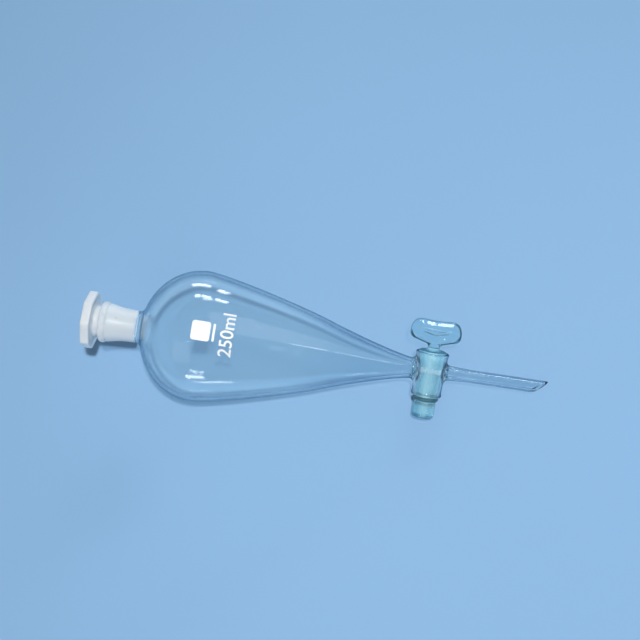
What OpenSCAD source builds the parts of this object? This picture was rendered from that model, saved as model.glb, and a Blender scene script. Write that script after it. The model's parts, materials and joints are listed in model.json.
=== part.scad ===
// Pear-shaped separatory funnel, 250 ml class, with a 19/22 ground joint and a glass stopcock.
// +Z runs up the funnel's axis from the stem's tip to the stopper.
// The plug of the stopcock lies along X, with its handle towards +X.
// The origin is on the axis, level with the lowest point of the stem's tip. Units are mm.

/* [Bulb] */
// Outer diameter of the bulb at its widest point
bulb_d = 77; // [74:0.5:80]
// Height of the crown's curve above the widest point
crown_h = 35.3; // [33:0.1:38]
// Wall thickness of the blown bulb
bulb_wall = 1.8; // [1.4:0.1:2.2]
// Height of the widest point above the stopcock's axis
bulb_above_cock = 137; // [130:1:150]

/* [Neck and socket] */
// Outer diameter of the clear neck between the bulb and the socket
neck_d = 18.7; // [18.6:0.1:20]
// Gauge diameter of the ground socket at its mouth
joint_d = 18.8; // [18.6:0.05:18.9]
// Length of the ground zone in the socket
joint_len = 21.8; // [20:0.2:24]
// Outer diameter of the beaded rim
rim_d = 24.2; // [23.6:0.1:26]
// Height of the beaded rim
rim_h = 4.2; // [3:0.1:5]

/* [Stopper] */
// Width of the stopper's octagonal head across its corners
head_d = 34.6; // [30:0.2:38]
// Thickness of the head
head_t = 5.4; // [3:0.1:6]
// Gap between the socket's rim and the underside of the head
head_gap = 3.5; // [2:0.1:6]
// Wall thickness of the hollow cone
stopper_wall = 1.5; // [1.2:0.1:2.2]

/* [Stopcock barrel] */
// Height of the stopcock's axis above the tip of the stem
cock_z = 70; // [64:1:90]
// Reach of the barrel from the stem's axis on the handle side
barrel_hi = 11.2; // [10.6:0.1:12]
// Reach of the barrel from the stem's axis on the tail side
barrel_lo = 15.2; // [14:0.1:16]
// Outer diameter of the barrel on the handle side
barrel_d_hi = 18.8; // [18.6:0.1:19.2]
// Outer diameter of the barrel on the tail side
barrel_d_lo = 17.2; // [17:0.1:18]
// Outer diameter of the arm that meets the bulb
inlet_d = 12.2; // [11.6:0.1:13]

/* [Stopcock plug] */
// Diameter of the ground plug where it crosses the stem's axis, taper 1 in 10
plug_d = 15; // [14.8:0.1:15.2]
// Diameter of the hole across the plug
cross_bore_d = 3; // [2:0.1:4]
// Length of the plug from the stem's axis to the end of its tail
tail_len = 28.3; // [26:0.1:32]
// Diameter of the plug's tail
tail_d = 13; // [12.2:0.1:13]

/* [Handle] */
// Width of the handle across its two wings
handle_w = 30; // [26:0.5:34]
// Height of the handle's top above the stem's axis
handle_top = 30.5; // [28:0.5:34]
// Thickness of the handle
handle_t = 9.6; // [7:0.2:11]
// Diameter of the neck between plug and handle
handle_neck_d = 6.4; // [5.4:0.2:7.6]

/* [Retaining ring] */
// Diameter of the ring's round section
ring_s = 2.3; // [1.9:0.1:2.4]
// Diameter of the groove in the plug's tail
groove_d = 10.8; // [10:0.1:11.4]

/* [Stem] */
// Outer diameter of the stem
stem_d = 7.5; // [7:0.1:8]
// Bore of the stem
stem_bore = 4.2; // [3.4:0.1:4.8]
// Height of the oblique cut at the tip
tip_cut = 8.8; // [3:0.2:12]

/* [Hidden] */
$fn = 96;

joint_gap = 0.03;   // radial clearance of a ground joint
taper = 0.05;       // radius lost per mm of length on a 1 in 10 taper
overlap = 0.001;    // overrun that keeps faces from coinciding

bulb_r = bulb_d / 2;
neck_r = neck_d / 2;
joint_r = joint_d / 2;
neck_bore_r = joint_r - taper * joint_len - 0.4;
drain_wall = 2;
drain_r = inlet_d / 2;
drain_bore_r = drain_r - drain_wall;
stem_r = stem_d / 2;
stem_bore_r = stem_bore / 2;
stem_weld_r = stem_r + 0.55;

// Heights of the welds and landmarks
outlet_reach = 13;
inlet_reach = 10;
weld_stem = cock_z - outlet_reach;  // the stem meets the outlet arm here
weld_inlet = cock_z + inlet_reach;  // the drain tube meets the inlet arm here
bulb_z = cock_z + bulb_above_cock;  // height of the bulb's widest point
neck_z = crown_z(neck_r);           // the crown's curve reaches the neck's radius here
fillet_top = neck_z + 2.4;
weld_neck = neck_z + 2.8;
rim_z = weld_neck + joint_len;

// Height of the crown's elliptical curve at a radius
function crown_z(radius) = bulb_z + crown_h * sqrt(1 - pow(radius / bulb_r, 2));

// Radius of the ground socket at a height
function socket_r(z) = joint_r - taper * (rim_z - z);

// Radius of the barrel's ground bore at a place along X
function barrel_bore_r(x) = plug_d / 2 + taper * x;

// Points on a cubic Bezier curve, without its end point
function bezier(start, pull_start, pull_end, end, steps) =
    [for (i = [0:steps - 1]) let (t = i / steps, u = 1 - t)
        u*u*u * start + 3*u*u*t * pull_start + 3*u*t*t * pull_end + t*t*t * end];

// Turns its children's Z axis along X, at the stopcock's height
module along_x() {
    translate([0, 0, cock_z]) rotate([0, 90, 0]) children();
}

// Solid of revolution about the stopcock's axis: points are [distance from the axis, x]
module turned_x(points) {
    along_x() rotate_extrude() polygon(points);
}

// ---- Bulb: profiles are [radius, height] ----

fillet_r = neck_r + 3.9;            // the neck's fillet joins the crown here
fillet_z = crown_z(fillet_r);
fillet_slope = -pow(crown_h / bulb_r, 2) * fillet_r / (fillet_z - bulb_z);
fillet_pull = 1.6;
crown_steps = 24;
crown_angle = acos(fillet_r / bulb_r);
flare_r = bulb_r * 0.509;           // the long cone starts to flare into the drain tube here
flare_z = weld_inlet + (bulb_z - weld_inlet) * 0.392;
flare_slope = 0.37;                 // radius per mm of height there
cone_pull = 16;
drain_pull = 7.5;

widest = [bulb_r, bulb_z];
flare_start = [flare_r, flare_z];
drain_end = [drain_r, weld_inlet];

fillet = bezier([neck_r, fillet_top], [neck_r, fillet_top - 1.5],
    [fillet_r - fillet_pull, fillet_z - fillet_pull * fillet_slope], [fillet_r, fillet_z], 8);
crown = [for (i = [0:crown_steps - 1]) let (angle = crown_angle * (1 - i / crown_steps))
    [bulb_r * cos(angle), bulb_z + crown_h * sin(angle)]];
cone = bezier(widest, widest - [0, 11],
    flare_start + cone_pull * [flare_slope, 1], flare_start, 32);
drain = bezier(flare_start, flare_start - drain_pull * [flare_slope, 1],
    drain_end + [0, 8], drain_end, 16);
outer = concat([[neck_r, weld_neck]], fillet, crown, cone, drain, [drain_end]);
last = len(outer) - 1;

// The wall thickens from the crown towards the neck, and from the cone down to the drain tube
thicken_z = bulb_z + crown_h * 0.7;
function wall_at(z) =
    z > thicken_z ? bulb_wall + (neck_r - neck_bore_r - bulb_wall)
        * min(1, (z - thicken_z) / (crown_h * 0.27))
    : z > flare_z ? bulb_wall
    : bulb_wall + (drain_wall - bulb_wall) * (flare_z - z) / (flare_z - weld_inlet);

// Outer point moved inwards by the wall, square to the profile
function inset_point(i) =
    let (chord = outer[i + 1] - outer[i - 1],
         along = chord / norm(chord),
         wall = wall_at(outer[i][1]))
    outer[i] + wall * [along[1], -along[0]];

inner = concat([[drain_bore_r, weld_inlet]],
    [for (i = [last - 1:-1:2]) inset_point(i)],
    [[neck_bore_r, fillet_top], [neck_bore_r, weld_neck]]);

module bulb() {
    color([0.80, 0.92, 0.96, 0.35]) rotate_extrude() polygon(concat(outer, inner));
}

// ---- Neck socket ----

module neck_socket() {
    lead_in = 0.6;
    bead_depth = rim_h * 0.3;
    bead_angle = 70;
    bead = [for (i = [0:8]) let (angle = bead_angle * (i / 4 - 1))
        [rim_d / 2 - bead_depth + bead_depth * cos(angle),
         rim_z - rim_h / 2 + rim_h / 2 * sin(angle) / sin(bead_angle)]];
    // [radius, height], from the neck up to the bead
    flare = [
        [neck_r, weld_neck],
        [neck_r + 0.1, weld_neck + 2],
        [neck_r + 0.35, weld_neck + joint_len * 0.30],
        [neck_r + 0.75, weld_neck + joint_len * 0.48],
        [neck_r + 1.35, weld_neck + joint_len * 0.62],
        [neck_r + 1.9, weld_neck + joint_len * 0.74],
        [neck_r + 2.0, rim_z - rim_h]];
    color([0.88, 0.94, 0.96, 0.5]) difference() {
        rotate_extrude() polygon(concat([[0, weld_neck]], flare, bead, [[0, rim_z]]));
        // ground bore
        translate([0, 0, weld_neck - overlap])
            cylinder(h = joint_len + 2 * overlap,
                r1 = socket_r(weld_neck - overlap), r2 = socket_r(rim_z + overlap));
        // polished lead-in at the mouth
        translate([0, 0, rim_z - lead_in])
            cylinder(h = lead_in + 0.1, r1 = socket_r(rim_z - lead_in), r2 = joint_r + lead_in);
    }
}

// ---- Stopcock barrel ----

// Tapered shell with a flared lip at each end
module barrel_shell() {
    tail_r = barrel_d_lo / 2;
    handle_r = barrel_d_hi / 2;
    turned_x([
        [0, -barrel_lo],
        [tail_r + 0.1, -barrel_lo],
        [tail_r + 0.45, -barrel_lo + 0.5],
        [tail_r + 0.45, -barrel_lo + 1.1],
        [tail_r, -barrel_lo + 2.4],
        [handle_r, barrel_hi - 3],
        [handle_r + 0.4, barrel_hi - 1.5],
        [handle_r + 0.4, barrel_hi - 0.7],
        [handle_r + 0.1, barrel_hi],
        [0, barrel_hi]]);
}

module inlet_arm() {
    weld_start = 5.5;
    translate([0, 0, cock_z]) cylinder(h = inlet_reach, r = drain_r);
    // weld fillet
    translate([0, 0, cock_z + weld_start])
        cylinder(h = inlet_reach - weld_start, r1 = drain_r + 2.4, r2 = drain_r);
}

// Outlet arm, widening upwards into its weld fillet
module outlet_arm() {
    translate([0, 0, weld_stem]) rotate_extrude() polygon([
        [0, 0], [stem_weld_r, 0], [stem_r + 0.7, 1.6], [stem_r + 1.3, 3.2],
        [stem_r + 2.4, 4.6], [stem_r + 2.4, 8], [0, 8]]);
}

// Vertical passage through the shell, widening into both arms
module barrel_ports() {
    port_r = cross_bore_d / 2 + 0.25;
    translate([0, 0, cock_z - 9.6]) cylinder(h = 18, r = port_r, $fn = 48);
    translate([0, 0, cock_z + 8.2]) cylinder(h = 1.3, r1 = port_r, r2 = drain_bore_r, $fn = 64);
    translate([0, 0, cock_z + 9.4]) cylinder(h = 1, r = drain_bore_r, $fn = 64);
    translate([0, 0, weld_stem + 2.6])
        cylinder(h = 1.2, r1 = stem_bore_r, r2 = port_r, $fn = 48);
    translate([0, 0, weld_stem - 1]) cylinder(h = 3.7, r = stem_bore_r, $fn = 48);
}

module stopcock_barrel() {
    bore_start = -barrel_lo - 1;
    bore_end = barrel_hi + 1;
    color([0.80, 0.92, 0.96, 0.4]) difference() {
        union() {
            barrel_shell();
            inlet_arm();
            outlet_arm();
        }
        // ground bore for the plug
        along_x() translate([0, 0, bore_start])
            cylinder(h = bore_end - bore_start,
                r1 = barrel_bore_r(bore_start), r2 = barrel_bore_r(bore_end));
        barrel_ports();
    }
}

// ---- Stem ----

module stem() {
    flare_len = 11;
    straight = weld_stem - flare_len;
    color([0.80, 0.92, 0.96, 0.4]) difference() {
        union() {
            cylinder(h = straight, r = stem_r);
            translate([0, 0, straight - overlap])
                cylinder(h = flare_len + overlap, r1 = stem_r, r2 = stem_weld_r);
        }
        translate([0, 0, -1]) cylinder(h = weld_stem + 2, r = stem_bore_r, $fn = 64);
        // oblique tip: the +X side is the long one
        translate([stem_r, 0, 0]) rotate([0, atan(tip_cut / stem_d), 0])
            translate([-40, -20, -40]) cube([60, 40, 40]);
    }
}

// ---- Stopcock plug ----

handle_neck_r = handle_neck_d / 2;
handle_neck_x = barrel_hi + 4.2;
wing = handle_w / 2;                // reach of each wing from the plug's axis

// Ground cone, shoulder and neck on the handle side, groove and tail on the other
module plug_body() {
    tail_r = tail_d / 2;
    groove_hi = -barrel_lo - 0.35;  // groove wall next to the barrel
    groove_lo = groove_hi - ring_s - 0.1;
    cone_end = barrel_hi + 0.5;
    cone_end_r = barrel_bore_r(cone_end) - joint_gap;
    neck_end = handle_neck_x + 1.5;
    tail = [
        [0, -tail_len],
        [tail_r - 1.1, -tail_len],
        [tail_r - 0.3, -tail_len + 0.4],
        [tail_r, -tail_len + 1.2],
        [tail_r, groove_lo - 0.3],
        [tail_r - 0.3, groove_lo],
        [groove_d / 2, groove_lo],
        [groove_d / 2, groove_hi]];
    ground_cone = [
        [barrel_bore_r(groove_hi) - joint_gap, groove_hi],
        [cone_end_r, cone_end]];
    shoulder = [for (i = [0:6]) let (angle = 15 * i, flatten = sin(2 * angle))
        [handle_neck_r + (cone_end_r - handle_neck_r) * cos(angle) * (1 - 0.12 * flatten),
         cone_end + 0.2
            + (handle_neck_x - cone_end - 0.6) * sin(angle) * (1 - 0.1 * flatten)]];
    turned_x(concat(tail, ground_cone, shoulder,
        [[handle_neck_r, neck_end], [0, neck_end]]));
}

// Bow-tie face of the handle in the XZ plane: points are [x, height from the plug's axis]
module handle_face() {
    tip_inset = 1.2;
    corner_r = 3.4;
    end_x = handle_top - 0.2;
    flare_end = [handle_neck_x + 3.6, wing - tip_inset];
    flare = bezier([handle_neck_x - 1, handle_neck_r], [handle_neck_x + 1.5, handle_neck_r],
        [handle_neck_x + 1.5, wing * 0.62], flare_end, 10);
    wing_tip = [for (i = [0:8])
        [handle_neck_x + 5.6 + 0.66 * cos(12 - 1.5 * i), wing - tip_inset * (1 - i / 8)]];
    corner = [for (i = [0:8]) let (angle = 90 * i / 8)
        [end_x - corner_r * (1 - sin(angle)), wing - corner_r * (1 - cos(angle))]];
    end_dip = [for (i = [1:7])
        [end_x - 0.6 * sin(180 * i / 8), (wing - corner_r) * (i / 4 - 1)]];
    upper = concat(flare, [flare_end], wing_tip, corner);
    polygon(concat(
        [for (point = upper) [point[0], -point[1]]],
        end_dip,
        [for (i = [len(upper) - 1:-1:0]) upper[i]]));
}

// Handle seen along the plug: rounded ends and a slight waist
module handle_plan() {
    end_r = handle_t / 2;
    end_centre = wing - end_r;
    rounded_end = [for (i = [0:12]) let (angle = -90 + 15 * i)
        [end_centre + end_r * cos(angle), end_r * sin(angle)]];
    waist = [for (i = [1:11]) let (angle = 15 * i)
        [end_centre * cos(angle), end_r - 1.3 * pow(sin(angle), 2)]];
    half = concat(rounded_end, waist);
    polygon(concat(half, [for (point = half) -point]));
}

module stopcock_plug() {
    color([0.75, 0.92, 0.95, 0.5]) difference() {
        union() {
            plug_body();
            // handle, its wings in line with the cross bore
            intersection() {
                translate([0, handle_t / 2, cock_z]) rotate([90, 0, 0])
                    linear_extrude(height = handle_t) handle_face();
                along_x() linear_extrude(height = handle_top + 1) handle_plan();
            }
        }
        // cross bore that lines up with the arms when the handle is parallel to the stem
        translate([0, 0, cock_z - 12]) cylinder(h = 24, r = cross_bore_d / 2, $fn = 48);
    }
}

// ---- Retaining ring ----

module plug_retaining_ring() {
    section_r = ring_s / 2;
    color([0.12, 0.13, 0.14]) along_x() translate([0, 0, -barrel_lo - 0.4 - section_r])
        rotate_extrude() translate([groove_d / 2 + joint_gap + section_r, 0])
            circle(r = section_r, $fn = 32);
}

// ---- Stopper: profiles are [radius, height] ----

head_r = head_d / 2;
head_z = rim_z + head_gap;          // underside of the head
head_top = head_z + head_t;
cone_bottom = weld_neck + 1.4;
cone_top = rim_z - 0.2;

function stopper_r(z) = socket_r(z) - joint_gap;

// Cone, collar and the fillet under the head
module stopper_cone() {
    gauge_r = stopper_r(rim_z);
    rotate_extrude() polygon([
        [0, cone_bottom],
        [stopper_r(cone_bottom) - 0.5, cone_bottom],
        [stopper_r(cone_bottom + 0.5), cone_bottom + 0.5],
        [stopper_r(cone_top), cone_top],
        [gauge_r - 0.35, cone_top + 0.5],
        [gauge_r - 0.35, head_z - 0.8],
        [gauge_r + 0.45, head_z],
        [gauge_r + 0.45, head_z + 1],
        [0, head_z + 1]]);
}

// Octagonal head with chamfered edges
module stopper_head() {
    translate([0, 0, head_z + 0.7]) cylinder(h = head_t - 1.4, r = head_r, $fn = 8);
    intersection() {
        translate([0, 0, head_z]) cylinder(h = head_t, r = head_r, $fn = 8);
        rotate_extrude() polygon([
            [0, head_z], [head_r * 0.94, head_z], [head_r * 1.01, head_z + 1.2],
            [head_r * 1.01, head_top - 1.2], [head_r * 0.93, head_top], [0, head_top]]);
    }
}

// Hollow of the cone, open at its lower end
module stopper_hollow() {
    bottom_r = stopper_r(cone_bottom) - stopper_wall;
    top_r = stopper_r(cone_top) - stopper_wall;
    rotate_extrude() polygon([
        [0, cone_bottom - 1], [bottom_r, cone_bottom - 1], [bottom_r, cone_bottom],
        [top_r, cone_top], [top_r - 0.5, head_z - 0.6], [0, head_z - 0.2]]);
}

module stopper() {
    dish_r = head_r * 0.62;
    color([0.95, 0.96, 0.97]) difference() {
        union() {
            stopper_cone();
            stopper_head();
        }
        stopper_hollow();
        // shallow moulded dish in the top of the head
        translate([0, 0, head_top - 0.8]) cylinder(h = 2, r1 = dish_r, r2 = dish_r + 1.2);
    }
}

bulb();
neck_socket();
stopcock_barrel();
stem();
stopcock_plug();
plug_retaining_ring();
stopper();
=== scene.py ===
# A 250 ml separating funnel: a pear-shaped glass bulb with a ground socket and stopper above,
# and a stopcock and an obliquely cut stem below. Its axis is Z, with the stem's tip near z = 0.
# The stopcock lies along X with its handle at +X; the enamel marks and the camera are on the
# -Y side, and the sloping table is behind the funnel, on the +Y side.
# Sizes are in millimetres until they reach a mesh; lights and floor are in metres.
import json
import math
from collections import Counter

import bmesh
import bpy
import numpy as np
from mathutils import Matrix, Vector

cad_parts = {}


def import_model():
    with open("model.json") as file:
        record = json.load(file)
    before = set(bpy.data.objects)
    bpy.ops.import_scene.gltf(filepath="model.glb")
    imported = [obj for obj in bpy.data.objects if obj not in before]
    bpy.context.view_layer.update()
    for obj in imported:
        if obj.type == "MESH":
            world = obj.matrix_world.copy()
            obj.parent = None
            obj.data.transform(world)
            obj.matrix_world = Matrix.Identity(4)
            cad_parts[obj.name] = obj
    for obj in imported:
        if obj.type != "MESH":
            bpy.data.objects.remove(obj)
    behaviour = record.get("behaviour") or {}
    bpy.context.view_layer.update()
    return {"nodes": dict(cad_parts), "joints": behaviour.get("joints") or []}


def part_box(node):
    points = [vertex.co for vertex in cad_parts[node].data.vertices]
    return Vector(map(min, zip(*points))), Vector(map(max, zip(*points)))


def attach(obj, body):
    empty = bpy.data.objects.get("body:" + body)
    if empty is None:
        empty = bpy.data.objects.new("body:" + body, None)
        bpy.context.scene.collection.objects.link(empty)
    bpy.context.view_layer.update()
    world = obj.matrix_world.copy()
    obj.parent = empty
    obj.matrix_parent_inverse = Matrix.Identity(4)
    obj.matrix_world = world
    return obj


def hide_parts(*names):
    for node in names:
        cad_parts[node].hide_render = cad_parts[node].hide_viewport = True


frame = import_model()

MM = 0.001


# ---------------------------------------------------------------- sizes taken from the frame
def mm_box(node):
    lo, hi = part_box(node)
    return np.array(lo) / MM, np.array(hi) / MM


def cad_points(node):
    """Vertices of a CAD node, in metres."""
    return np.array([v.co for v in frame["nodes"][node].data.vertices])


def cad_radii(node, z):
    """Inner and outer radius about the Z axis of a CAD node's vertices at height z."""
    points = cad_points(node) / MM
    near = points[np.abs(points[:, 2] - z) < 0.05]
    radius = np.hypot(near[:, 0], near[:, 1])
    return radius.min(), radius.max()


bulb_lo, bulb_hi = mm_box("bulb")
socket_lo, socket_hi = mm_box("neck_socket")
barrel_lo, barrel_hi = mm_box("stopcock_barrel")
stem_hi = mm_box("stem")[1]
plug_lo, plug_hi = mm_box("stopcock_plug")
ring_lo, ring_hi = mm_box("plug_retaining_ring")
stopper_lo, stopper_hi = mm_box("stopper")
joints = {joint["name"]: joint for joint in frame["joints"]}

COCK_Z = joints["plug_turn"]["pos_m"][2] / MM
BARREL_LO, BARREL_HI = barrel_lo[0], barrel_hi[0]   # ends of the barrel along X
BULB_R = bulb_hi[0]
WELD_IN = bulb_lo[2]             # the drain tube meets the stopcock's inlet arm
WELD_NECK = socket_lo[2]         # the bulb's neck meets the socket
RIM_Z, RIM_R = socket_hi[2], socket_hi[0]
STEM_TOP = stem_hi[2]
ARM_FLARE, ARM_LENGTH = 0.55, 11.0                  # the outlet arm widens upwards over its length

NECK_IN, NECK_R = cad_radii("bulb", WELD_NECK)
DRAIN_IN, DRAIN_R = cad_radii("bulb", WELD_IN)
STEM_IN = cad_radii("stem", STEM_TOP)[0]
STEM_R = 3.75 if abs(stem_hi[0] - 4.3) < 0.2 else stem_hi[0] - ARM_FLARE
points = cad_points("bulb") / MM
BULB_Z = float(points[np.hypot(points[:, 0], points[:, 1]) > BULB_R - 1e-3][:, 2].mean())
NECK_BASE = WELD_NECK - 2.8
CROWN_H = (NECK_BASE - BULB_Z) / math.sqrt(1 - (NECK_R / BULB_R) ** 2)
MID_Z = WELD_IN + (BULB_Z - WELD_IN) * 0.392        # the bulb's cone passes into the drain curve
WALL, DRAIN_WALL = 1.8, 2.0

TAPER = 0.05                     # radius gained per length on both ground joints
BORE_R = 7.5                     # barrel bore at x = 0
MOUTH_R = 9.4                    # ground socket at the rim
GROUND_GAP = 0.03                # plug and stopper are this much slimmer than their seats


# ---------------------------------------------------------------- bulb profiles
def bezier(p, count):
    p = np.array(p, float)
    t = np.linspace(0, 1, count)[:, None]
    s = 1 - t
    return s ** 3 * p[0] + 3 * s ** 2 * t * p[1] + 3 * s * t * t * p[2] + t ** 3 * p[3]


def bulb_outer():
    """[radius, height] from the neck weld down to the inlet weld."""
    # where the neck fillet meets the elliptical crown, and the crown's slope there
    foot_r = NECK_R + 3.9
    foot_z = BULB_Z + CROWN_H * math.sqrt(1 - (foot_r / BULB_R) ** 2)
    foot_slope = -((CROWN_H / BULB_R) ** 2) * foot_r / (foot_z - BULB_Z)
    top = NECK_BASE + 2.4
    mid_r, mid_slope = BULB_R * 0.509, 0.37         # slope is radius per height
    fillet = bezier([(NECK_R, top), (NECK_R, top - 1.5),
                     (foot_r - 1.6, foot_z - 1.6 * foot_slope), (foot_r, foot_z)], 16)
    crown = np.array([(BULB_R * math.cos(a), BULB_Z + CROWN_H * math.sin(a))
                      for a in np.linspace(math.acos(foot_r / BULB_R), 0, 48)])
    cone = bezier([(BULB_R, BULB_Z), (BULB_R, BULB_Z - 11),
                   (mid_r + 16 * mid_slope, MID_Z + 16), (mid_r, MID_Z)], 64)
    drain = bezier([(mid_r, MID_Z), (mid_r - 7.5 * mid_slope, MID_Z - 7.5),
                    (DRAIN_R, WELD_IN + 8), (DRAIN_R, WELD_IN)], 34)
    profile = np.vstack([[[NECK_R, WELD_NECK]], fillet, crown[1:], cone[1:], drain[1:]])
    # stay inside the CAD mesh's own facets at the widest line
    profile[:, 0] = np.minimum(profile[:, 0], BULB_R - 0.024)
    return profile


def wall_at(z):
    """Wall thickness: thin in the bulb, thickening to the neck and to the drain."""
    if z > BULB_Z + CROWN_H * 0.7:
        share = min(1, (z - BULB_Z - CROWN_H * 0.7) / (CROWN_H * 0.27))
        return WALL + (NECK_R - NECK_IN - WALL) * share
    if z > MID_Z:
        return WALL
    return WALL + (DRAIN_WALL - WALL) * (MID_Z - z) / (MID_Z - WELD_IN)


def bulb_inner(outer):
    """The outer profile moved inwards by the wall, with its ends set to the tube bores."""
    tangent = np.gradient(outer, axis=0)
    tangent /= np.linalg.norm(tangent, axis=1)[:, None]
    walls = np.array([wall_at(z) for z in outer[:, 1]])[:, None]
    inner = outer + np.c_[tangent[:, 1], -tangent[:, 0]] * walls
    inner[0] = [NECK_IN, WELD_NECK]
    inner[1] = [NECK_IN, outer[1][1]]
    inner[-1] = [DRAIN_IN, WELD_IN]
    return inner


def radius_at(profile, z):
    order = np.argsort(profile[:, 1])
    return np.interp(z, profile[order, 1], profile[order, 0])


OUTER = bulb_outer()
INNER = bulb_inner(OUTER)


# ---------------------------------------------------------------- mesh helpers
def new_object(name, verts, faces, materials, slots=None, smooth=True):
    """An object from vertices in mm; slots gives each face's material slot."""
    mesh = bpy.data.meshes.new(name)
    mesh.from_pydata([tuple(v) for v in (np.asarray(verts) * MM)], [],
                     [tuple(int(i) for i in face) for face in faces])
    mesh.update()
    for material in materials:
        mesh.materials.append(material)
    if slots is not None:
        mesh.polygons.foreach_set("material_index", np.asarray(slots, np.int32))
    bm = bmesh.new()
    bm.from_mesh(mesh)
    bmesh.ops.recalc_face_normals(bm, faces=bm.faces)
    bm.to_mesh(mesh)
    bm.free()
    mesh.polygons.foreach_set("use_smooth", np.full(len(mesh.polygons), smooth))
    mesh.update()
    made = bpy.data.objects.new(name, mesh)
    bpy.context.scene.collection.objects.link(made)
    return made


def surface_nets(field, lo, hi, cell):
    """Zero surface of field(x, y, z) as vertices and quads, open where it meets the box."""
    lo, hi = np.array(lo, float), np.array(hi, float)
    size = np.ceil((hi - lo) / cell).astype(int) + 1
    axes = [lo[i] + cell * np.arange(size[i]) for i in range(3)]
    x, y, z = np.meshgrid(*axes, indexing="ij")
    grid = np.stack([x, y, z], -1)
    value = field(x, y, z)
    inside = value < 0
    cells = tuple(size - 1)
    total = np.zeros(cells + (3,))
    count = np.zeros(cells)
    crossings = []
    # every grid edge that crosses the surface adds its crossing to the four cells round it
    for axis in range(3):
        start, end = [slice(None)] * 3, [slice(None)] * 3
        start[axis], end[axis] = slice(0, -1), slice(1, None)
        start, end = tuple(start), tuple(end)
        crosses = inside[start] != inside[end]
        index = np.argwhere(crosses)
        v0, v1 = value[start][crosses], value[end][crosses]
        point = grid[start][crosses].copy()
        point[:, axis] += v0 / (v0 - v1) * cell
        b, c = (axis + 1) % 3, (axis + 2) % 3
        for shift_b in (0, -1):
            for shift_c in (0, -1):
                k = index.copy()
                k[:, b] += shift_b
                k[:, c] += shift_c
                ok = np.all((k >= 0) & (k < np.array(cells)), axis=1)
                where = tuple(k[ok].T)
                np.add.at(total, where, point[ok])
                np.add.at(count, where, 1)
        crossings.append((axis, index, inside[start][crosses]))
    active = count > 0
    ids = -np.ones(cells, int)
    ids[active] = np.arange(active.sum())
    first = total[active] / count[active][:, None]
    # one quad round each crossing edge
    quads = []
    for axis, index, starts_inside in crossings:
        b, c = (axis + 1) % 3, (axis + 2) % 3
        ok = ((index[:, b] > 0) & (index[:, c] > 0)
              & (index[:, b] < cells[b]) & (index[:, c] < cells[c]))
        corners = []
        for shift_b, shift_c in ((-1, -1), (0, -1), (0, 0), (-1, 0)):
            k = index[ok].copy()
            k[:, b] += shift_b
            k[:, c] += shift_c
            corners.append(ids[k[:, 0], k[:, 1], k[:, 2]])
        quad = np.stack(corners, 1)
        flip = ~starts_inside[ok]
        quad[flip] = quad[flip][:, ::-1]
        quads.append(quad)
    # draw the vertices onto the surface along its gradient, no further than 0.6 of a cell
    verts = first.copy()
    probe = 1e-3
    for _ in range(3):
        slopes = [field(*(verts + d).T) - field(*(verts - d).T) for d in np.eye(3) * probe]
        gradient = np.stack(slopes, 1) / (2 * probe)
        steepness = np.maximum((gradient * gradient).sum(1), 0.05)
        verts = verts - (field(*verts.T) / steepness)[:, None] * gradient
    move = verts - first
    length = np.linalg.norm(move, axis=1)
    limit = 0.6 * cell
    far = length > limit
    move[far] *= (limit / length[far])[:, None]
    return first + move, np.vstack(quads)


def smooth_min(a, b, blend):
    h = np.clip(0.5 + 0.5 * (b - a) / blend, 0, 1)
    return b + (a - b) * h - blend * h * (1 - h)


def smooth_max(a, b, blend):
    return -smooth_min(-a, -b, blend)


def bell(x, centre, width):
    return np.exp(-((x - centre) / width) ** 2)


def smooth_step(x, start, end):
    t = np.clip((x - start) / (end - start), 0, 1)
    return t * t * (3 - 2 * t)


def boundary_loops(quads):
    """The closed boundary loops, each an ordered list of vertex numbers."""
    uses = Counter((min(a, b), max(a, b)) for quad in quads.tolist()
                   for a, b in zip(quad, quad[1:] + quad[:1]))
    neighbours = {}
    for (a, b), count in uses.items():
        if count == 1:
            neighbours.setdefault(a, []).append(b)
            neighbours.setdefault(b, []).append(a)
    loops, seen = [], set()
    for start in sorted(neighbours):
        if start in seen:
            continue
        loop, options = [], [start]
        while options:
            loop.append(options[0])
            seen.add(options[0])
            options = [v for v in neighbours[options[0]] if v not in seen]
        loops.append(loop)
    return loops


def stitch(verts, loop_a, loop_b):
    """Triangles between two loops round the Z axis."""
    def by_angle(loop):
        loop = np.array(loop)
        angle = np.arctan2(verts[loop, 1], verts[loop, 0])
        turned = np.unwrap(np.r_[angle, angle[:1]])
        if turned[-1] < turned[0]:
            loop, angle = loop[::-1], angle[::-1]
        start = int(np.argmin(angle))
        angle = np.unwrap(np.roll(angle, -start))
        return np.roll(loop, -start), np.r_[angle, angle[0] + 2 * math.pi]

    a, angle_a = by_angle(loop_a)
    b, angle_b = by_angle(loop_b)
    n, m = len(a), len(b)
    i = j = 0
    triangles = []
    while i < n or j < m:
        if j >= m or (i < n and angle_a[i + 1] <= angle_b[j + 1]):
            triangles.append((a[i % n], a[(i + 1) % n], b[j % m]))
            i += 1
        else:
            triangles.append((a[i % n], b[(j + 1) % m], b[j % m]))
            j += 1
    return triangles


# ---------------------------------------------------------------- node helpers
def add_node(tree, kind, inputs=None, **settings):
    """A shader node; each input takes a constant or another node's output."""
    made = tree.nodes.new("ShaderNode" + kind)
    for key, value in settings.items():
        setattr(made, key, value)
    for key, value in (inputs or {}).items():
        if isinstance(value, bpy.types.NodeSocket):
            tree.links.new(value, made.inputs[key])
        else:
            made.inputs[key].default_value = value
    return made


def new_material(name):
    material = bpy.data.materials.new(name)
    material.use_nodes = True
    tree = material.node_tree
    tree.nodes.clear()
    return material, tree, add_node(tree, "OutputMaterial")


def object_coords(tree):
    return add_node(tree, "TexCoord").outputs["Object"]


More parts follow.
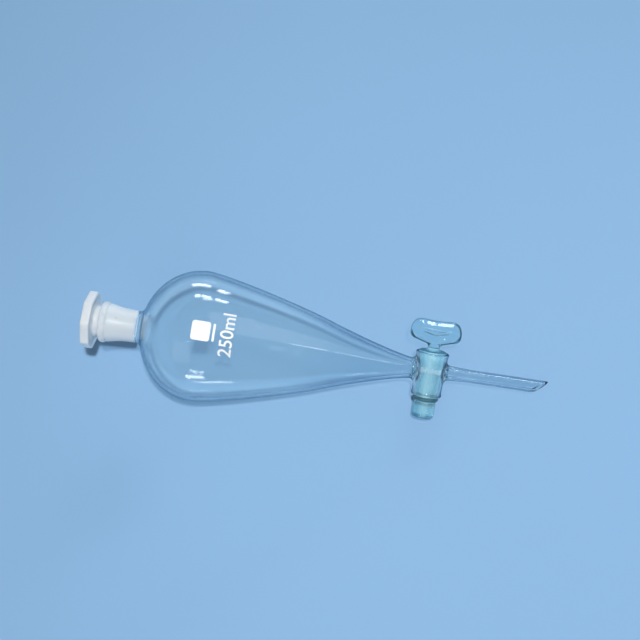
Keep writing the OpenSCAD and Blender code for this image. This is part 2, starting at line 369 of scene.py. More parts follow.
def ramp(tree, fac, stops):
    """Colour ramp through (position, grey or colour) stops."""
    made = add_node(tree, "ValToRGB", {"Fac": fac})
    elements = made.color_ramp.elements
    while len(elements) < len(stops):
        elements.new(1.0)
    for element, (position, colour) in zip(elements, stops):
        element.position = position
        if not isinstance(colour, tuple):
            colour = (colour,) * 3
        element.color = colour + (1,)
    return made.outputs["Color"]


def noise(tree, coords, scale, detail, rough):
    return add_node(tree, "TexNoise", {"Scale": scale, "Detail": detail, "Roughness": rough,
                                       "Vector": coords}).outputs["Fac"]


def bump(tree, height, strength, distance, normal=None):
    inputs = {"Strength": strength, "Distance": distance, "Height": height}
    if normal is not None:
        inputs["Normal"] = normal
    return add_node(tree, "Bump", inputs).outputs["Normal"]


def calc(tree, operation, *values):
    return add_node(tree, "Math", dict(enumerate(values)), operation=operation).outputs[0]


def mix_shaders(tree, fac, first, second):
    return add_node(tree, "MixShader", {"Fac": fac, 1: first, 2: second}).outputs[0]


def facing(tree):
    """0 where a surface is seen head-on, 1 where it is seen edge-on."""
    return add_node(tree, "LayerWeight", {"Blend": 0.5}).outputs["Facing"]


def smooth_range(tree, value, start, end):
    return add_node(tree, "MapRange", {"From Min": start, "From Max": end, "Value": value},
                    interpolation_type="SMOOTHSTEP").outputs["Result"]


def mix_colours(tree, fac, first, second):
    return add_node(tree, "Mix", {"Factor": fac, "A": first, "B": second},
                    data_type="RGBA").outputs["Result"]


def scaled(colour, factors):
    return tuple(c * f for c, f in zip(colour, factors))


def lamp_through(tree, shader, out, head_on, grazing):
    """Shadow and diffuse rays pass through, tinted more darkly towards the outline."""
    path = add_node(tree, "LightPath")
    tint = ramp(tree, facing(tree), [(0.0, head_on), (0.55, head_on), (1.0, grazing)])
    clear = add_node(tree, "BsdfTransparent", {"Color": tint}).outputs[0]
    through = calc(tree, "MAXIMUM", path.outputs["Is Shadow Ray"],
                   path.outputs["Is Diffuse Ray"])
    tree.links.new(mix_shaders(tree, through, shader, clear), out.inputs["Surface"])


# ---------------------------------------------------------------- materials
GLASS_IOR = 1.473


def tint_with_painted_outline(tree, view, tint, start, edge, body):
    """Glass colour with painted shade along its outline: it deepens to edge as the wall is seen
    edge-on, past the start value.
    """
    # (facing value, darkening); a painted highlight, a slight brightening, comes just before the
    # start
    weights = [(0.0, 0.0), (start * 0.76, 0.0), (start * 0.90, -0.10), (start + 0.02, 0.0)]
    weights += [(start + (1 - start) * share, darkening)
                for share, darkening in ((0.32, 0.30), (0.6, 0.70), (0.88, 0.9), (1.0, 1.0))]
    return ramp(tree, view, [
        (place, tuple(t * b * (1 - dark * (1 - e)) for t, b, e in zip(tint, body, edge)))
        for place, dark in weights])


def clear_glass(name, tint, wave, outline_shade_start, edge, thick_range=None):
    """Clear glass; thick_range is the z range, in m, over which it turns to the deeper tint and a
    darker painted shade along the outline.
    """
    material, tree, out = new_material(name)
    coords = object_coords(tree)
    # long shallow waves and a finer ripple, both drawn out along Z
    drawn = add_node(tree, "Mapping", {"Scale": (1.0, 1.0, 0.45), "Vector": coords}).outputs[0]
    waves = noise(tree, drawn, scale=55.0, detail=2.0, rough=0.45)
    ripple = noise(tree, drawn, scale=260.0, detail=2.0, rough=0.5)
    normal = bump(tree, waves, strength=0.10 * wave, distance=0.0006)
    normal = bump(tree, ripple, strength=0.015 * wave, distance=0.0002, normal=normal)
    view = facing(tree)
    # painted shade towards the outline, with a painted highlight just inside it
    colour = tint_with_painted_outline(tree, view, tint, outline_shade_start, edge, body=(1, 1, 1))
    if thick_range:
        # the thick-walled drain and stem get a slightly deeper colour than the thin bulb, and a
        # darker painted shade along their outlines
        height = add_node(tree, "SeparateXYZ", {0: coords}).outputs[2]
        share = smooth_range(tree, height, *thick_range)
        thick_tint_and_shade = tint_with_painted_outline(tree, view, tint, start=0.30, edge=(0.14, 0.28, 0.42),
                          body=(0.950, 0.972, 0.985))
        colour = mix_colours(tree, share, colour, thick_tint_and_shade)
    # the polish varies a little
    smears = noise(tree, coords, scale=38.0, detail=5.0, rough=0.6)
    roughness = ramp(tree, smears, [(0.35, 0.0), (0.75, 0.035)])
    glass = add_node(tree, "BsdfGlass", {"Color": colour, "IOR": GLASS_IOR,
                                         "Roughness": roughness, "Normal": normal})
    # a thin film of dust, gathered in patches
    dust = add_node(tree, "BsdfDiffuse", {"Color": (0.85, 0.92, 0.96, 1)})
    patches = noise(tree, coords, scale=120.0, detail=6.0, rough=0.65)
    most_dust = 0.012
    film = ramp(tree, patches, [(0.42, most_dust * 0.25), (0.8, most_dust)])
    surface = mix_shaders(tree, film, glass.outputs[0], dust.outputs[0])
    lamp_through(tree, surface, out, head_on=(0.965, 0.985, 0.99), grazing=(0.42, 0.5, 0.56))
    return material


def ground_glass(name, white, rough, tint, scatter, vary=0.25, painted_column=False):
    """Frosted glass: white is the share of scattered light, vary its patchiness."""
    material, tree, out = new_material(name)
    coords = object_coords(tree)
    grain = noise(tree, coords, scale=5200.0, detail=3.0, rough=0.7)
    patches = noise(tree, coords, scale=160.0, detail=5.0, rough=0.6)
    normal = bump(tree, grain, strength=0.5, distance=0.00004)
    view = facing(tree)
    # painted shade: the colour darkens where the surface is seen edge-on, along its outline
    colour = ramp(tree, view, [(0.0, tint), (0.5, tint),
                               (0.8, scaled(tint, (0.62, 0.76, 0.82))),
                               (1.0, scaled(tint, (0.40, 0.56, 0.66)))])
    roughness = ramp(tree, patches, [(0.3, rough * 0.75), (0.75, min(1.0, rough * 1.25))])
    glass = add_node(tree, "BsdfGlass", {"Color": colour, "IOR": GLASS_IOR,
                                         "Roughness": roughness, "Normal": normal})
    reflected = add_node(tree, "BsdfDiffuse", {"Color": scatter + (1,)})
    passed = add_node(tree, "BsdfTranslucent", {"Color": scatter + (1,)})
    frost = mix_shaders(tree, 0.5, reflected.outputs[0], passed.outputs[0])
    share = ramp(tree, patches, [(0.25, white * (1 - vary)),
                                 (0.8, min(1.0, white * (1 + vary * 0.8)))])
    if painted_column:
        # painted highlight: the frost is whitest down the middle of a solid rod, where it gathers
        # light, and the rod stays clear at its flanks
        middle = ramp(tree, view, [(0.0, 1.0), (0.035, 0.92), (0.11, 0.40), (0.45, 0.24),
                                   (1.0, 0.18)])
        share = calc(tree, "MULTIPLY", share, middle)
    surface = mix_shaders(tree, share, glass.outputs[0], frost)
    lamp_through(tree, surface, out, head_on=(0.80, 0.84, 0.86), grazing=(0.35, 0.4, 0.45))
    return material


def polyethylene(name):
    material, tree, out = new_material(name)
    coords = object_coords(tree)
    grain = noise(tree, coords, scale=1400.0, detail=3.0, rough=0.6)
    patches = noise(tree, coords, scale=110.0, detail=4.0, rough=0.55)
    sheen = noise(tree, coords, scale=420.0, detail=2.0, rough=0.5)
    normal = bump(tree, grain, strength=0.22, distance=0.00005)
    normal = bump(tree, patches, strength=0.12, distance=0.0004, normal=normal)
    plastic = add_node(tree, "BsdfPrincipled", {
        "Base Color": ramp(tree, patches, [(0.3, (0.80, 0.85, 0.88)), (0.7, (0.90, 0.925, 0.94))]),
        "Roughness": ramp(tree, sheen, [(0.3, 0.32), (0.7, 0.48)]),
        "IOR": 1.51,
        "Subsurface Weight": 0.55,
        "Subsurface Radius": (1.0, 1.1, 1.2),
        "Subsurface Scale": 0.0022,
        "Normal": normal})
    glow = add_node(tree, "BsdfTranslucent", {"Color": (0.82, 0.88, 0.92, 1)})
    surface = mix_shaders(tree, 0.22, plastic.outputs[0], glow.outputs[0])
    tree.links.new(surface, out.inputs["Surface"])
    return material


def mottled_surface(tree, grain, grain_bump, patches, colours, roughness):
    """Opaque surface with a fine grain; colour and roughness vary in the same patches."""
    coords = object_coords(tree)
    fine = noise(tree, coords, **grain)
    coarse = noise(tree, coords, **patches)
    return add_node(tree, "BsdfPrincipled", {
        "Base Color": ramp(tree, coarse, colours),
        "Roughness": ramp(tree, coarse, roughness),
        "Normal": bump(tree, fine, **grain_bump)}).outputs[0]


def rubber(name):
    material, tree, out = new_material(name)
    surface = mottled_surface(
        tree,
        grain=dict(scale=1600.0, detail=4.0, rough=0.65),
        grain_bump=dict(strength=0.4, distance=0.00006),
        patches=dict(scale=300.0, detail=3.0, rough=0.5),
        colours=[(0.3, (0.035, 0.11, 0.15)), (0.75, (0.065, 0.16, 0.20))],
        roughness=[(0.3, 0.42), (0.75, 0.62)])
    tree.links.new(surface, out.inputs["Surface"])
    return material


def enamel(name):
    material, tree, out = new_material(name)
    surface = mottled_surface(
        tree,
        grain=dict(scale=2600.0, detail=3.0, rough=0.6),
        grain_bump=dict(strength=0.3, distance=0.00003),
        patches=dict(scale=500.0, detail=4.0, rough=0.6),
        colours=[(0.25, (0.80, 0.84, 0.86)), (0.7, (0.93, 0.95, 0.96))],
        roughness=[(0.3, 0.35), (0.75, 0.55)])
    # the print casts only a faint shadow
    path = add_node(tree, "LightPath")
    clear = add_node(tree, "BsdfTransparent", {"Color": (0.80, 0.82, 0.84, 1)})
    surface = mix_shaders(tree, path.outputs["Is Shadow Ray"], surface, clear.outputs[0])
    tree.links.new(surface, out.inputs["Surface"])
    return material


GLASS = clear_glass("borosilicate_glass", tint=(0.982, 0.994, 0.994), wave=1.0,
                    outline_shade_start=0.54, edge=(0.26, 0.42, 0.54), thick_range=(0.162, 0.100))
GROUND = ground_glass("ground_socket_glass", white=0.52, rough=0.45, tint=(0.97, 0.99, 0.99),
                      scatter=(0.95, 0.975, 1.0), vary=0.10)
BORE = ground_glass("ground_barrel_bore", white=0.08, rough=0.18, tint=(0.93, 0.99, 0.995),
                    scatter=(0.80, 0.97, 1.0))
# the plug and the tail below get a painted highlight down their middles
PLUG = ground_glass("ground_plug_glass", white=0.46, rough=0.12, tint=(0.74, 0.94, 0.965),
                    scatter=(0.74, 1.0, 1.0), painted_column=True)
HOLE = ground_glass("drilled_plug_hole", white=0.80, rough=0.30, tint=(0.95, 0.97, 0.99),
                    scatter=(0.97, 0.97, 1.0))
TAIL = ground_glass("ground_tail_glass", white=0.34, rough=0.24, tint=(0.68, 0.90, 0.925),
                    scatter=(0.62, 0.92, 0.95), painted_column=True)
# painted shade: dark glass on the rim of the tail's end
TAIL_ARRIS_SHADE = ground_glass("tail_arris_painted_shade", white=0.05, rough=0.20, tint=(0.34, 0.58, 0.70),
                     scatter=(0.5, 0.8, 0.9))
HANDLE = clear_glass("pressed_handle_glass", tint=(0.88, 0.975, 0.985), wave=1.2,
                     outline_shade_start=0.30, edge=(0.22, 0.40, 0.50))
PLASTIC = polyethylene("milky_polyethylene")
RUBBER = rubber("ring_rubber")
ENAMEL = enamel("fired_white_enamel")
RIM = ground_glass("frosted_rim_bead", white=0.86, rough=0.20, tint=(0.97, 0.99, 0.99),
                   scatter=(0.97, 0.985, 1.0))
SKIN = ground_glass("satin_socket_skin", white=0.58, rough=0.36, tint=(0.98, 0.99, 0.995),
                    scatter=(0.97, 0.985, 1.0), vary=0.08)


# ---------------------------------------------------------------- glass body
SEGMENTS = 160
BODY_CELL = 0.33
COCK_BOTTOM, COCK_TOP = COCK_Z - 17.0, COCK_Z + 18.0    # meshed as one solid between these
BARREL_R_LO, BARREL_R_HI = 8.6, 9.4                     # outside radius at the two ends
PORT_R = 1.75                                           # channels through the barrel wall
STEM_CUT = 8.8                                          # height of the oblique cut at the tip
STEM_SLANT = 26.0                                       # the slant fades out over this height
RIM_H = 4.2
SLOT_CLEAR, SLOT_BORE, SLOT_GROUND, SLOT_RIM, SLOT_SKIN = range(5)
ring_angles = np.arange(SEGMENTS) * 2 * math.pi / SEGMENTS
COS, SIN = np.cos(ring_angles), np.sin(ring_angles)


def arm_radius(z):
    """Outer radius of the outlet arm and the stem under it."""
    return STEM_R + ARM_FLARE * np.clip((z - (STEM_TOP - ARM_LENGTH)) / ARM_LENGTH, 0, 1)


def bore_radius(x):
    return BORE_R + TAPER * x


def stopcock_field(x, y, z):
    """Negative inside the glass of the barrel and its two arms."""
    about_x = np.hypot(y, z - COCK_Z)
    about_z = np.hypot(x, y)
    share = (x - BARREL_LO) / (BARREL_HI - BARREL_LO)
    barrel_r = (BARREL_R_LO + (BARREL_R_HI - BARREL_R_LO) * share
                + 0.42 * bell(x, centre=BARREL_LO + 1.1, width=1.0)
                + 0.40 * bell(x, centre=BARREL_HI - 1.0, width=1.15))
    barrel = smooth_max(about_x - barrel_r, np.maximum(x - BARREL_HI, BARREL_LO - x), blend=0.9)
    # the arms overlap 2 mm past the barrel's axis
    z_up = np.maximum(z, WELD_IN)
    inlet = smooth_max(about_z - radius_at(OUTER, z_up), (COCK_Z + 2) - z, blend=0.5)
    outlet = smooth_max(about_z - arm_radius(z), z - (COCK_Z - 2), blend=0.5)
    outside = smooth_min(smooth_min(barrel, inlet, blend=3.4), outlet, blend=3.2)
    # each channel widens from the port to the bore of its tube
    widen = smooth_step(z, COCK_Z + 7.9, COCK_Z + 10.4)
    inlet_r = PORT_R + (radius_at(INNER, z_up) - PORT_R) * widen
    inlet_channel = smooth_max(about_z - inlet_r, COCK_Z - z, blend=0.4)
    widen = smooth_step(-z, -(COCK_Z - 8.6), -(COCK_Z - 10.6))
    outlet_r = PORT_R + (STEM_IN - PORT_R) * widen
    outlet_channel = smooth_max(about_z - outlet_r, z - COCK_Z, blend=0.4)
    hollow = smooth_min(about_x - bore_radius(x), np.minimum(inlet_channel, outlet_channel),
                        blend=0.22)
    return smooth_max(outside, -hollow, blend=0.22)


def socket_outside():
    """Rings up the outside of the socket, its steps smoothed."""
    height = RIM_Z - WELD_NECK
    top = height - RIM_H - 0.25
    # (radius added to the neck, height above the weld)
    stations = np.array([(0, 0), (0.1, 2), (0.35, height * 0.30), (0.75, height * 0.48),
                         (1.35, height * 0.62), (1.9, height * 0.74), (2.0, top)])
    heights = np.linspace(0, height - RIM_H, 200)
    radii = np.interp(heights, stations[:, 1], NECK_R + stations[:, 0])
    kernel = np.hanning(41)
    kernel /= kernel.sum()
    radii = np.convolve(np.pad(radii, 20, mode="edge"), kernel, mode="valid")
    return [(float(np.interp(z, heights, radii)), WELD_NECK + z,
             SLOT_SKIN if z > 1.5 else SLOT_CLEAR) for z in np.linspace(0.8, top, 22)]


def upper_rings(join_z):
    """(radius, z, slot) from the stopcock up the outside, over the rim and down the inside."""
    rising = OUTER[::-1]
    rising = rising[rising[:, 1] > join_z + 0.3]
    rings = [(float(radius_at(OUTER, join_z)), join_z, SLOT_CLEAR)]
    rings += [(r, z, SLOT_CLEAR) for r, z in rising]
    rings += socket_outside()
    # beaded rim
    bead_r, bead_z = RIM_R - RIM_H * 0.30, RIM_Z - RIM_H / 2
    rings += [(bead_r + RIM_H * 0.30 * math.cos(a), bead_z + RIM_H * 0.5 * math.sin(a), SLOT_RIM)
              for a in np.radians(np.linspace(-78, 90, 16))]
    rings += [(MOUTH_R + 1.1, RIM_Z, SLOT_RIM),
              (MOUTH_R + 0.62, RIM_Z - 0.12, SLOT_RIM),
              (MOUTH_R + 0.15, RIM_Z - 0.45, SLOT_RIM)]
    # ground taper
    rings += [(MOUTH_R - TAPER * (RIM_Z - z), z, SLOT_GROUND)
              for z in np.linspace(RIM_Z - 0.9, WELD_NECK + 0.25, 26)]
    rings += [(NECK_IN + 0.16, WELD_NECK + 0.02, SLOT_GROUND),
              (NECK_IN, WELD_NECK - 0.35, SLOT_CLEAR)]
    falling = INNER[2:]
    falling = falling[(falling[:, 1] > join_z + 0.3) & (falling[:, 1] < WELD_NECK - 0.7)]
    rings += [(r, z, SLOT_CLEAR) for r, z in falling]
    rings.append((float(radius_at(INNER, join_z)), join_z, SLOT_CLEAR))
    return rings


def lower_rings(join_z):
    """(radius, z round the ring, slot) down the stem, round its tip and back up inside."""
    def cut_height(radius):
        return STEM_CUT / 2 * (1 - radius * COS / STEM_R)

    def slanted(radius, z):
        weight = float(np.clip(1 - z / STEM_SLANT, 0, 1)) ** 1.5
        return radius, z + cut_height(radius) * weight, SLOT_CLEAR

    heights = [*np.linspace(join_z, STEM_SLANT, 14), *np.linspace(23, 1.2, 12), 0.7, 0.35]
    rings = [slanted(float(arm_radius(z)), z) for z in heights]
    # rounded lip of the cut end
    middle, half = (STEM_R + STEM_IN) / 2, (STEM_R - STEM_IN) / 2
    for a in np.radians(np.linspace(20, 160, 7)):
        radius = middle + half * math.cos(a)
        rings.append((radius, cut_height(radius) + 0.34 * (1 - math.sin(a)), SLOT_CLEAR))
    return rings + [slanted(STEM_IN, z) for z in heights[::-1]]


def add_revolved(verts, faces, slots, rings, outer_loop, inner_loop):
    """Adds skinned rings and stitches the first to outer_loop and the last to inner_loop."""
    first = len(verts)
    last = first + (len(rings) - 1) * SEGMENTS
    verts = np.vstack([verts] + [np.c_[r * COS, r * SIN, np.broadcast_to(z, COS.shape)]
                                 for r, z, _ in rings])
    for k, (_, _, slot) in enumerate(rings[1:]):
        a = first + k * SEGMENTS
        b = a + SEGMENTS
        for i in range(SEGMENTS):
            j = (i + 1) % SEGMENTS
            faces.append((a + i, a + j, b + j, b + i))
            slots.append(slot)
    for loop, start in ((outer_loop, first), (inner_loop, last)):
        triangles = stitch(verts, loop, range(start, start + SEGMENTS))
        faces.extend(triangles)
        slots.extend([SLOT_CLEAR] * len(triangles))
    return verts


def glass_body():
    verts, quads = surface_nets(stopcock_field, (BARREL_LO - 1.2, -11.4, COCK_BOTTOM),
                                (BARREL_HI + 1.2, 11.4, COCK_TOP), BODY_CELL)
    faces = [tuple(quad) for quad in quads]
    middle = verts[quads].mean(1)
    about_x = np.hypot(middle[:, 1], middle[:, 2] - COCK_Z)
    on_bore = np.abs(about_x - bore_radius(middle[:, 0])) < 0.12
    near_port = np.hypot(middle[:, 0], middle[:, 1]) < 2.3
    slots = list(np.where(on_bore & ~near_port, SLOT_BORE, SLOT_CLEAR))

    def mean_radius(loop):
        return np.hypot(verts[loop][:, 0], verts[loop][:, 1]).mean()

    loops = sorted(boundary_loops(quads), key=mean_radius)
    top_in, top_out = [p for p in loops if verts[p][:, 2].mean() > COCK_Z + 5]
    bottom_in, bottom_out = [p for p in loops if verts[p][:, 2].mean() < COCK_Z - 5]
    gap = BODY_CELL * 0.8
    upper = upper_rings(verts[top_out][:, 2].max() + gap)
    lower = lower_rings(verts[bottom_out][:, 2].min() - gap)
    verts = add_revolved(verts, faces, slots, upper, top_out, top_in)
    verts = add_revolved(verts, faces, slots, lower, bottom_out, bottom_in)
    return new_object("glass_body", verts, faces, [GLASS, BORE, GROUND, RIM, SKIN], slots)


body = glass_body()
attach(body, "glass_body")
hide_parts("bulb", "neck_socket", "stopcock_barrel", "stem")


# ---------------------------------------------------------------- stopcock plug with its handle
PLUG_CELL = 0.353
PLUG_LO, PLUG_HI = plug_lo[0], plug_hi[0]       # tail end and handle end along X
GROOVE_HI = BARREL_LO - 0.35                    # groove for the retaining ring
GROOVE_LO = GROOVE_HI - 2.4
GROOVE_R = 5.4
TAIL_R = 6.5
HOLE_R = 1.5
SHOULDER_X = BARREL_HI + 0.5
NECK_X = BARREL_HI + 4.2
WING = (plug_hi[2] - plug_lo[2]) / 2            # half width of the handle along Z
HANDLE_RIM = 4.65                               # half thickness of the rim
HANDLE_RIM_IN = 3.9                             # distance from outline to the web
HANDLE_WEB = 2.9                                # half thickness of the web


def plug_cone_radius(x):
    return bore_radius(x) - GROUND_GAP


def shaft_field(x, about_x):
    """The plug's cone, neck, groove and tail, all turned about X."""
    def turned(radius, lo, hi, blend):
        return smooth_max(about_x - radius, np.maximum(x - hi, lo - x), blend)

    cone = turned(plug_cone_radius(x), GROOVE_HI, SHOULDER_X + 0.3, blend=0.9)
    # a shoulder just proud of the barrel, drawn down to the neck of the handle
    neck_r = 2.9 + 3.4 * np.exp(-np.maximum(x - SHOULDER_X, 0) / 1.1)
    neck = turned(neck_r, SHOULDER_X - 2, NECK_X + 3.0, blend=1.0)
    groove = turned(GROOVE_R, GROOVE_LO - 1, GROOVE_HI + 1, blend=0.3)
    tail = turned(TAIL_R, PLUG_LO, GROOVE_LO, blend=1.3)
    shaft = smooth_min(cone, neck, blend=0.8)
    return smooth_min(smooth_min(shaft, groove, blend=0.35), tail, blend=0.35)


def handle_field(x, y, z):
    """Bow-tie handle, z measured from its middle: a rolled rim round a thinner web."""
    across = np.abs(z)
    # distance inside each edge of the outline
    inner_edge = (x - 15.3) * 0.9595 - (across - 2.6) * 0.2815
    side_edge = WING - across
    corner = 0.65 * (PLUG_HI - 3.8 - x) + 0.76 * (WING - across)
    outer_edge = PLUG_HI - 0.15 - 0.5 * np.exp(-(across / 5.0) ** 2) - x
    depth = smooth_min(smooth_min(inner_edge, side_edge, blend=3.0),
                       smooth_min(corner, outer_edge, blend=2.0), blend=2.4)
    # the rim's section is an ellipse cut by a sloping facet
    outward = np.maximum(HANDLE_RIM_IN - depth, 0) * (HANDLE_RIM / HANDLE_RIM_IN)
    slope = math.radians(42)
    facet = np.abs(y) * math.cos(slope) + outward * math.sin(slope) - HANDLE_RIM * 0.915
    rim = smooth_max(np.hypot(outward, y) - HANDLE_RIM, facet, blend=0.25)
    web = HANDLE_WEB + (HANDLE_RIM - HANDLE_WEB) * np.exp(
        -(np.maximum(depth - HANDLE_RIM_IN, 0) / 1.9) ** 2)
    return np.where(depth < HANDLE_RIM_IN, rim, np.maximum(np.abs(y) - web, rim))


def plug_field(x, y, z):
    shaft = shaft_field(x, np.hypot(y, z - COCK_Z))
    solid = smooth_min(shaft, handle_field(x, y, z - COCK_Z), blend=2.6)
    return smooth_max(solid, -(np.hypot(x, y) - HOLE_R), blend=0.25)


def plug():
    half_height = WING + 1.0
    verts, quads = surface_nets(plug_field, (PLUG_LO - 1.0, -9.2, COCK_Z - half_height),
                                (PLUG_HI + 1.0, 9.2, COCK_Z + half_height), PLUG_CELL)
    x, y, z = verts[quads].mean(1).T
    about_x = np.hypot(y, z - COCK_Z)
    ground = (x < BARREL_HI + 0.3) & (np.abs(about_x - plug_cone_radius(x)) < 0.1)
    tail = x < GROOVE_HI + 0.1
    hole = (np.hypot(x, y) < HOLE_R + 0.25) & (about_x < 7.0)
    # the rim of the tail's end gets the painted shade
    shaded_arris = (x < PLUG_LO + 1.0) & (about_x > TAIL_R - 1.5)
    # slots follow the order of the material list; earlier conditions win
    slots = np.select([hole, shaded_arris, tail, ground], [3, 4, 2, 1], 0)
    return new_object("stopcock_plug_and_handle", verts, quads,
                      [HANDLE, PLUG, TAIL, HOLE, TAIL_ARRIS_SHADE], slots)


key = plug()
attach(key, "plug")
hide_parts("stopcock_plug")


# ---------------------------------------------------------------- retaining ring
def retaining_ring():
    """A rubber ring about X, waving slightly along X and a little flattened inside."""
    around, section = 96, 24
    centre_x = (ring_lo[0] + ring_hi[0]) / 2
    half = (ring_hi[0] - ring_lo[0]) / 2
    middle_r = ring_hi[1] - half - 0.02
    section_r = half - 0.05
    verts, faces = [], []
    for i in range(around):
        a = 2 * math.pi * i / around
        wave = 0.05 * math.sin(2 * a + 0.6) + 0.03 * math.sin(3 * a + 1.9)
        for j in range(section):
            b = 2 * math.pi * j / section
            flatten = 1.0 if math.cos(b) > -0.7 else 0.96
            radius = middle_r + section_r * math.cos(b) * flatten
            verts.append((centre_x + wave * 0.6 + section_r * math.sin(b),
                          radius * math.cos(a), COCK_Z + radius * math.sin(a)))
            here, there = i * section, (i + 1) % around * section
            k = (j + 1) % section
            faces.append((here + j, here + k, there + k, there + j))
    return new_object("retaining_ring", verts, faces, [RUBBER])


ring = retaining_ring()
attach(ring, "plug")
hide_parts("plug_retaining_ring")


# ---------------------------------------------------------------- stopper
STOPPER_SEGMENTS = 192
STOPPER_WALL = 1.5
STOPPER_R = MOUTH_R - GROUND_GAP                # at the height of the socket's rim


def rounded_octagon(angles):
    """Radius at each angle of the head's outline, one corner on +X."""
    flat_r = stopper_hi[0] * math.cos(math.pi / 8)
    sharpness = 46.0
    total = np.zeros(len(angles))
    for k in range(8):
        c = np.cos(angles - (math.pi / 8 + k * math.pi / 4))
        total += np.where(c > 0, np.maximum(c, 1e-9) ** sharpness, 0)
    return flat_r * total ** (-1 / sharpness)


def stopper_stations():
    """(circle radius, octagon scale, octagon share, z) from the hollow inside to the top."""
    points = cad_points("stopper") / MM
    head_z = points[np.hypot(points[:, 0], points[:, 1]) > 11, 2].min()
    top, end = stopper_hi[2], stopper_lo[2]
    cone_top = RIM_Z - 0.2

    def cone_r(z):
        return STOPPER_R - TAPER * (RIM_Z - z)

    hollow_r, end_r = cone_r(cone_top) - STOPPER_WALL, cone_r(end)
    # (radius, z): closed top of the hollow
    rounds = [(0.0, head_z - 0.2), (3.0, head_z - 0.2), (hollow_r - 1.6, head_z - 0.35),
              (hollow_r - 0.7, head_z - 0.8), (hollow_r - 0.45, head_z - 1.6)]
    rounds += [(cone_r(z) - STOPPER_WALL, z) for z in np.linspace(cone_top, end + 0.4, 12)]
    # open lower end
    rounds += [(end_r - STOPPER_WALL + 0.15, end + 0.08), (end_r - STOPPER_WALL + 0.45, end),
               (end_r - 0.65, end), (end_r - 0.22, end + 0.1),
               (cone_r(end + 0.5) - 0.03, end + 0.45)]
    rounds += [(cone_r(z), z) for z in np.linspace(end + 1.2, cone_top - 0.2, 18)]
    # collar between the cone and the head, then a shallow relief under the head
    rounds += [(cone_r(cone_top) - 0.06, cone_top + 0.05), (STOPPER_R - 0.3, cone_top + 0.35),
               (STOPPER_R - 0.35, cone_top + 0.9), (STOPPER_R - 0.35, head_z - 1.4),
               (STOPPER_R - 0.2, head_z - 0.6), (STOPPER_R + 0.1, head_z - 0.18),
               (STOPPER_R + 0.6, head_z), (STOPPER_R + 1.4, head_z + 0.02),
               (STOPPER_R + 1.9, head_z + 0.35), (STOPPER_R + 2.6, head_z + 0.5)]
    # octagonal edge: (circle radius, octagon scale, octagon share, z)
    head = [(STOPPER_R + 3.4, 0.80, 0.35, head_z + 0.5),
            (STOPPER_R + 3.9, 0.84, 0.7, head_z + 0.36)]
    # (octagon scale, rise from the underside)
    head += [(0, scale, 1, head_z + rise) for scale, rise in (
        (0.865, 0.06), (0.90, 0), (0.935, 0.02), (0.965, 0.16), (0.988, 0.45), (0.999, 0.9),
        (1.0, 1.5))]
    # (octagon scale, drop from the top)
    head += [(0, scale, 1, top - drop) for scale, drop in (
        (1.0, 1.5), (0.998, 0.9), (0.985, 0.42), (0.96, 0.14), (0.925, 0.02), (0.88, 0))]
    head += [(13.2, 0.80, 0.6, top), (12.4, 0.74, 0.25, top - 0.01)]
    # shallow dish with a small raised disc in its middle: (radius, drop from the top)
    dish = [(11.7, 0.03), (11.2, 0.15), (10.85, 0.45), (10.4, 0.7), (9.8, 0.79), (7.0, 0.8),
            (3.6, 0.8), (1.9, 0.8), (1.6, 0.72), (1.35, 0.5), (0.9, 0.44), (0.0, 0.46)]
    return ([(r, 0, 0, z) for r, z in rounds] + head
            + [(r, 0, 0, top - drop) for r, drop in dish])


def stopper():
    n = STOPPER_SEGMENTS
    angles = np.arange(n) * 2 * math.pi / n
    octagon = rounded_octagon(angles)
    verts, faces, rings = [], [], []
    for circle_r, scale, share, z in stopper_stations():
        radii = (1 - share) * np.ones(n) * circle_r + share * octagon * scale
        start = len(verts)
        if np.all(radii == 0):
            verts.append((0, 0, z))
        else:
            verts += [(r * math.cos(a), r * math.sin(a), z) for r, a in zip(radii, angles)]
        rings.append(range(start, len(verts)))
    for a, b in zip(rings[:-1], rings[1:]):
        for i in range(n):
            j = (i + 1) % n
            if len(a) == 1:
                faces.append((a[0], b[i], b[j]))
            elif len(b) == 1:
                faces.append((a[i], a[j], b[0]))
            else:
                faces.append((a[i], a[j], b[j], b[i]))
    return new_object("stopper_moulding", verts, faces, [PLASTIC])


moulding = stopper()
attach(moulding, "stopper")
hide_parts("stopper")


# ---------------------------------------------------------------- fired enamel marks on the bulb
MARK_ANGLE = math.radians(15.5)      # where the marks face: from -Y towards +X
PRINT_LIFT, PRINT_BASE = 0.045, 0.004    # outer and inner skin of a print, above the glass
PRINT_CELL = 0.77


def on_bulb(across, z, lift):
    """A point of the flat artwork laid on the bulb, lift above its outside."""
    r = radius_at(OUTER, z)
    slope = (radius_at(OUTER, z + 0.3) - radius_at(OUTER, z - 0.3)) / 0.6
    level = 1 / math.sqrt(1 + slope * slope)
    angle = MARK_ANGLE + across / r
    lifted = r + lift * level
    return lifted * math.sin(angle), -lifted * math.cos(angle), z - lift * level * slope


